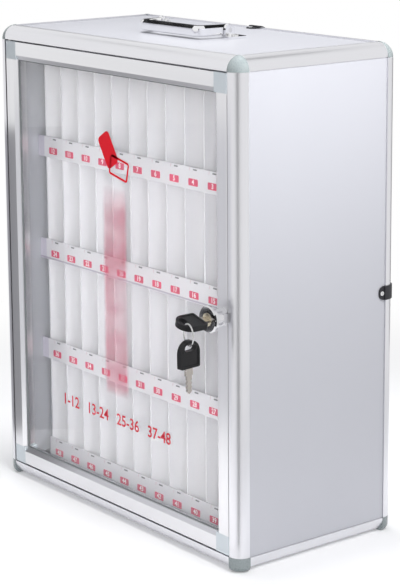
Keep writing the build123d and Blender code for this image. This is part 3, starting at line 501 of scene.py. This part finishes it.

# Label strips: pale card-faced strips on the front of each shelf, printed with a fine line along
# both edges. Their colour is a darker lilac at the left end.
strip_lows = (0.0094, 0.1124, 0.2149, 0.3184)
strip_height = 0.0205
line_lows = (0.0006, strip_height - 0.0010)
line_width = 0.0005
lilac_end = -0.1690
card, line, lilac = (0.69, 0.675, 0.71, 1.0), (0.40, 0.36, 0.44, 1.0), (0.80, 0.77, 0.86, 1.0)
label_white, nodes, links, shader = start_material("label_white")
place = nodes.new("ShaderNodeTexCoord")
parts = nodes.new("ShaderNodeSeparateXYZ")
links.new(place.outputs["Object"], parts.inputs[0])
ramp = nodes.new("ShaderNodeValToRGB")
bands = ramp.color_ramp
bands.interpolation = "CONSTANT"
bands.elements[0].color = card
bands.elements[1].position = 0.999
bands.elements[1].color = card
ramp_span = 0.4
for low in strip_lows:
    for line_low in line_lows:
        bands.elements.new((low + line_low) / ramp_span).color = line
        bands.elements.new((low + line_low + line_width) / ramp_span).color = card
rise = nodes.new("ShaderNodeMath")
rise.operation = "DIVIDE"
rise.inputs[1].default_value = ramp_span
links.new(parts.outputs["Z"], rise.inputs[0])
links.new(rise.outputs[0], ramp.inputs["Fac"])
at_left = nodes.new("ShaderNodeMath")
at_left.operation = "LESS_THAN"
at_left.inputs[1].default_value = lilac_end
links.new(parts.outputs["X"], at_left.inputs[0])
field = nodes.new("ShaderNodeMix")
field.data_type = "RGBA"
field.blend_type = "MULTIPLY"
field.inputs["B"].default_value = lilac
links.new(at_left.outputs[0], field.inputs["Factor"])
links.new(ramp.outputs["Color"], field.inputs["A"])
links.new(field.outputs["Result"], shader.inputs["Base Color"])
fibre = grain(nodes, links, (800.0, 800.0, 800.0), 3.0)
links.new(between(nodes, links, fibre, 0.45, 0.60), shader.inputs["Roughness"])
raised(nodes, links, shader, fibre, 0.00002, 0.4)
finish(label_white, "label_strips")


# Slot tags: crimson plastic plates with rounded corners, glued to the strips under each slot.
# Their numbers are printed in white, 12 down to 1 in the top row and 48 down to 37 in the bottom one.
def add_plate(bm, centre, width, height, thickness, corner, turn=0.0):
    """A plate with rounded corners whose back lies on the plane of its centre and faces away from it."""
    place = Matrix.Translation(centre) @ Matrix.Rotation(turn, 4, "Y")
    size = Matrix.Diagonal((width, thickness, height, 1.0))
    forward = Matrix.Translation((0.0, -thickness / 2, 0.0))
    verts = bmesh.ops.create_cube(bm, size=1.0, matrix=place @ forward @ size)["verts"]
    edges = {edge for vert in verts for edge in vert.link_edges}
    short = [edge for edge in edges if abs(edge.calc_length() - thickness) < 1e-6]
    bmesh.ops.bevel(
        bm,
        geom=short,
        offset=corner,
        offset_type="OFFSET",
        segments=3,
        profile=0.5,
        affect="EDGES",
        material=-1,
    )


def add_numbers(bm, words, centre, size, thickness, weight=0.0):
    """Plain printed numbers that stand on the plane of their centre and read from the front."""
    curve = bpy.data.curves.new("numbers", "FONT")
    curve.body = words
    curve.size = size
    curve.extrude = thickness / 2
    curve.offset = weight
    curve.resolution_u = 3
    curve.align_x = "CENTER"
    curve.align_y = "CENTER"
    maker = bpy.data.objects.new("numbers", curve)
    mesh = bpy.data.meshes.new_from_object(maker)
    forward = Matrix.Translation(centre + Vector((0.0, -thickness / 2, 0.0)))
    mesh.transform(forward @ Matrix.Rotation(pi / 2, 4, "X"))
    bm.from_mesh(mesh)
    bpy.data.objects.remove(maker)
    bpy.data.curves.remove(curve)
    bpy.data.meshes.remove(mesh)


def made_piece(bm, name, material, body):
    """The finished mesh as a piece that moves with a body."""
    bmesh.ops.recalc_face_normals(bm, faces=bm.faces)
    mesh = bpy.data.meshes.new(name)
    bm.to_mesh(mesh)
    bm.free()
    mesh.materials.append(material)
    piece = bpy.data.objects.new(name, mesh)
    scene.collection.objects.link(piece)
    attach(piece, body)
    return piece


columns, rows = 12, len(strip_lows)
slot_pitch = 0.0279
tag_width, tag_height, tag_thickness, tag_corner = 0.0134, 0.0064, 0.0003, 0.0009
tag_rise = 0.0070
digit_size, digit_thickness, digit_weight = 0.0064, 0.00004, 0.00012
strip_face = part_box("label_strips")[0][1]
slot_spots = []
for row, low in enumerate(strip_lows):
    for column in range(columns):
        number = columns * (rows - row) - column
        across = (column - (columns - 1) / 2) * slot_pitch
        slot_spots.append((number, Vector((across, strip_face, low))))
plates = bmesh.new()
digits = bmesh.new()
for number, spot in slot_spots:
    middle = spot + Vector((0.0, 0.0, tag_rise))
    add_plate(plates, middle, tag_width, tag_height, tag_thickness, tag_corner)
    tag_face = middle - Vector((0.0, tag_thickness, 0.0))
    add_numbers(digits, str(number), tag_face, digit_size, digit_thickness, digit_weight)
tag_pale, tag_deep = (0.70, 0.035, 0.125), (0.62, 0.025, 0.100)
tag_crimson = moulded_plastic("tag_crimson", tag_pale, tag_deep, 0.40, 0.55, 1200.0, 0.3)
tag_ink = moulded_plastic("tag_ink", (0.90, 0.88, 0.89), (0.84, 0.82, 0.83), 0.45, 0.60, 1500.0)
made_piece(plates, "slot_tags", tag_crimson, "cabinet")
made_piece(digits, "slot_numbers", tag_ink, "cabinet")

# Marks over the tags, printed on the strips: a short dark dash and a thin rose tick at its left.
# They are ink, a few hundredths of a millimetre thick.
ink_thickness = 0.00005
mark_rise = 0.0186
dash_aside, dash_width, dash_height, dash_corner = 0.0026, 0.0056, 0.0014, 0.0005
tick_aside, tick_width, tick_height, tick_corner = -0.0050, 0.0006, 0.0032, 0.0002
tick_lean = radians(14.0)
dashes = bmesh.new()
ticks = bmesh.new()
for number, spot in slot_spots:
    dash_middle = spot + Vector((dash_aside, 0.0, mark_rise))
    tick_middle = spot + Vector((tick_aside, 0.0, mark_rise))
    add_plate(dashes, dash_middle, dash_width, dash_height, ink_thickness, dash_corner)
    add_plate(ticks, tick_middle, tick_width, tick_height, ink_thickness, tick_corner, tick_lean)
dash_ink = moulded_plastic("dash_ink", (0.13, 0.13, 0.15), (0.09, 0.09, 0.10), 0.50, 0.62, 1500.0)
tick_ink = moulded_plastic("tick_ink", (0.62, 0.42, 0.48), (0.55, 0.36, 0.42), 0.50, 0.62, 1500.0)
made_piece(dashes, "strip_dashes", dash_ink, "cabinet")
made_piece(ticks, "strip_ticks", tick_ink, "cabinet")


# Sign on the pane: two plain phones, one solid and one in outline, screen-printed in bright red ink
# on the outside of the acrylic.
def add_frame(bm, centre, width, height, rim, thickness, corner, turn):
    """A flat rounded frame that stands on the plane of its centre."""
    verts = bmesh.ops.create_grid(bm, x_segments=1, y_segments=1, size=0.5)["verts"]
    bmesh.ops.scale(bm, vec=(width, height, 1.0), verts=verts)
    rounded = bmesh.ops.bevel(
        bm,
        geom=verts,
        offset=corner,
        offset_type="OFFSET",
        segments=3,
        profile=0.5,
        affect="VERTICES",
        material=-1,
    )
    middle = max(rounded["verts"][0].link_faces, key=lambda face: face.calc_area())
    inset = bmesh.ops.inset_region(
        bm, faces=[middle], thickness=rim, use_even_offset=True, use_boundary=True
    )
    rim_faces = inset["faces"]
    bmesh.ops.delete(bm, geom=[middle], context="FACES_ONLY")
    extruded = bmesh.ops.extrude_face_region(bm, geom=rim_faces)["geom"]
    top_verts = [item for item in extruded if isinstance(item, bmesh.types.BMVert)]
    bmesh.ops.translate(bm, vec=(0.0, 0.0, thickness), verts=top_verts)
    whole = {vert for face in rim_faces for vert in face.verts} | set(top_verts)
    place = Matrix.Translation(centre) @ Matrix.Rotation(turn, 4, "Y") @ Matrix.Rotation(pi / 2, 4, "X")
    bmesh.ops.transform(bm, matrix=place, verts=list(whole))


pane_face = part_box("door_window")[0][1]
sign_middle = Vector((0.0, pane_face, 0.343))
solid_phone = sign_middle + Vector((-0.0080, 0.0, 0.0060))
solid_width, solid_height, solid_corner, solid_turn = 0.0190, 0.0320, 0.0040, radians(-32.0)
open_phone = sign_middle + Vector((0.0085, 0.0, -0.0090))
open_width, open_height, open_rim, open_corner, open_turn = 0.0190, 0.0290, 0.0021, 0.0028, radians(-78.0)
sign = bmesh.new()
add_plate(sign, solid_phone, solid_width, solid_height, ink_thickness, solid_corner, solid_turn)
add_frame(sign, open_phone, open_width, open_height, open_rim, ink_thickness, open_corner, open_turn)
sign_pale, sign_deep = (0.86, 0.004, 0.020), (0.80, 0.003, 0.016)
print_red = moulded_plastic("print_red", sign_pale, sign_deep, 0.30, 0.45, 1500.0, 0.2)
made_piece(sign, "pane_sign", print_red, "door")

# Numbers of the four rows, screen-printed on the pane below the sign in a deeper red. They are plain
# figures that read from the front.
rows_middle = Vector((-0.0035, pane_face, 0.096))
rows_size, rows_weight = 0.0152, 0.0002
row_numbers = bmesh.new()
add_numbers(
    row_numbers, "1-12   13-24   25-36   37-48", rows_middle, rows_size, ink_thickness, rows_weight
)
rows_pale, rows_deep = (0.66, 0.012, 0.036), (0.60, 0.010, 0.030)
print_deep_red = moulded_plastic("print_deep_red", rows_pale, rows_deep, 0.30, 0.45, 1500.0, 0.2)
made_piece(row_numbers, "pane_row_numbers", print_deep_red, "door")

# Tall band between the two, printed in a thin rose ink that the rack shows through. It fades out at
# its edges and lies unevenly on the acrylic.
band_left, band_right, band_low, band_high = -0.0190, 0.0200, 0.118, 0.316
band_corner = 0.0010
fade = 0.0055
thin, thick = 0.12, 0.31
band_pale, band_deep = (0.78, 0.16, 0.26), (0.84, 0.13, 0.24)
band_middle = Vector(((band_left + band_right) / 2, pane_face, (band_low + band_high) / 2))
band = bmesh.new()
add_plate(band, band_middle, band_right - band_left, band_high - band_low, ink_thickness, band_corner)
band_ink, nodes, links, shader = start_material("band_ink")
place = nodes.new("ShaderNodeTexCoord")
parts = nodes.new("ShaderNodeSeparateXYZ")
links.new(place.outputs["Object"], parts.inputs[0])
cover = between(nodes, links, parts.outputs["X"], 0.0, 1.0, band_left, band_left + fade)
for axis, edge, inner in (
    ("X", band_right, band_right - fade),
    ("Z", band_low, band_low + 2 * fade),
    ("Z", band_high, band_high - 4 * fade),
):
    faded = nodes.new("ShaderNodeMath")
    faded.operation = "MULTIPLY"
    links.new(cover, faded.inputs[0])
    links.new(between(nodes, links, parts.outputs[axis], 0.0, 1.0, edge, inner), faded.inputs[1])
    cover = faded.outputs[0]
patches = grain(nodes, links, (16.0, 1.0, 34.0), 1.0)
depth = nodes.new("ShaderNodeMath")
depth.operation = "MULTIPLY"
links.new(cover, depth.inputs[0])
links.new(between(nodes, links, patches, thin, thick, 0.35, 0.65), depth.inputs[1])
links.new(tinted(nodes, links, patches, band_pale, band_deep), shader.inputs["Base Color"])
shader.inputs["Roughness"].default_value = 0.42
clear = nodes.new("ShaderNodeBsdfTransparent")
blend = nodes.new("ShaderNodeMixShader")
links.new(depth.outputs[0], blend.inputs[0])
links.new(clear.outputs[0], blend.inputs[1])
links.new(shader.outputs[0], blend.inputs[2])
links.new(blend.outputs[0], nodes["Material Output"].inputs["Surface"])
made_piece(band, "pane_band", band_ink, "door")


# Screws of the handle and the hangers: turned steel heads with a slightly domed face and a pressed
# cross. The heads on the handle's pivots have eight sides, the others are round.
def add_screw(bm, seat, outward, radius, height, sides, shank, length):
    """A screw whose head stands outward from its seat, with a cross pressed into its face."""
    head = bmesh.new()
    half_side = Matrix.Rotation(pi / sides, 4, "Z")
    bmesh.ops.create_cone(
        head,
        cap_ends=True,
        segments=sides,
        radius1=radius,
        radius2=radius,
        depth=height,
        matrix=half_side,
    )
    bmesh.ops.translate(head, vec=(0.0, 0.0, height / 2), verts=head.verts)
    rim = [edge for edge in head.edges if all(vert.co.z > height * 0.9 for vert in edge.verts)]
    bmesh.ops.bevel(
        head,
        geom=rim,
        offset=height * 0.35,
        offset_type="OFFSET",
        segments=3,
        profile=0.5,
        affect="EDGES",
        material=-1,
    )
    bmesh.ops.create_cone(
        head,
        cap_ends=True,
        segments=16,
        radius1=shank,
        radius2=shank,
        depth=length,
        matrix=Matrix.Translation((0.0, 0.0, -length / 2)),
    )
    body = bpy.data.objects.new("head", bpy.data.meshes.new("head"))
    head.to_mesh(body.data)
    head.free()
    tool = bmesh.new()
    arm = radius * 0.56
    groove = Matrix.Diagonal((2 * arm, arm * 0.42, height, 1.0))
    for quarter in (0, 1):
        cross = Matrix.Translation((0.0, 0.0, height)) @ Matrix.Rotation(quarter * pi / 2, 4, "Z")
        bmesh.ops.create_cube(tool, size=1.0, matrix=cross @ groove)
    punch = bpy.data.objects.new("punch", bpy.data.meshes.new("punch"))
    tool.to_mesh(punch.data)
    tool.free()
    scene.collection.objects.link(body)
    scene.collection.objects.link(punch)
    cut = body.modifiers.new("cross", "BOOLEAN")
    cut.operation = "DIFFERENCE"
    cut.solver = "EXACT"
    cut.use_self = True
    cut.object = punch
    done = bpy.data.meshes.new_from_object(body.evaluated_get(bpy.context.evaluated_depsgraph_get()))
    turn = Vector((0.0, 0.0, 1.0)).rotation_difference(Vector(outward)).to_matrix().to_4x4()
    done.transform(Matrix.Translation(seat) @ turn)
    bm.from_mesh(done)
    for helper in (body, punch):
        bpy.data.objects.remove(helper)
    bpy.data.meshes.remove(done)


# Each kind gives the radius and height of the head, its sides, and the radius and length of the shank.
pivot_kind = (0.0038, 0.0020, 8, 0.0020, 0.0079)
foot_kind = (0.0032, 0.0013, 28, 0.0017, 0.0050)
strap_kind = (0.0021, 0.0009, 24, 0.0014, 0.0038)
pivot_low, pivot_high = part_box("handle_pivot_screws")
strap_low, strap_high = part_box("hanger_screws")
pivot_y, pivot_z = (pivot_low[1] + pivot_high[1]) / 2, (pivot_low[2] + pivot_high[2]) / 2
strap_y = (strap_low[1] + strap_high[1]) / 2
ear_inside = 0.04365
foot_x, foot_top = 0.0581, 0.4515
side_strap_x, side_strap_z = 0.1834, 0.2254
top_strap_z = 0.4503
pivot_screws = bmesh.new()
foot_screws = bmesh.new()
strap_screws = bmesh.new()
for side in (-1, 1):
    add_screw(pivot_screws, (side * ear_inside, pivot_y, pivot_z), (-side, 0, 0), *pivot_kind)
    add_screw(foot_screws, (side * foot_x, pivot_y, foot_top), (0, 0, 1), *foot_kind)
    add_screw(strap_screws, (side * side_strap_x, strap_y, side_strap_z), (side, 0, 0), *strap_kind)
add_screw(strap_screws, (0.0, strap_y, top_strap_z), (0, 0, 1), *strap_kind)
screw_steel = shiny_metal("screw_steel", (0.78, 0.78, 0.78), (0.68, 0.68, 0.69), 0.14, 0.24)
finish(screw_steel, "handle_pivot_screws", "handle_foot_screws", "hanger_screws")
pivot_piece = made_piece(pivot_screws, "pivot_screws", screw_steel, "cabinet")
foot_piece = made_piece(foot_screws, "foot_screws", screw_steel, "cabinet")
strap_piece = made_piece(strap_screws, "strap_screws", screw_steel, "cabinet")
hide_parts("handle_pivot_screws")
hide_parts("handle_foot_screws")
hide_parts("hanger_screws")
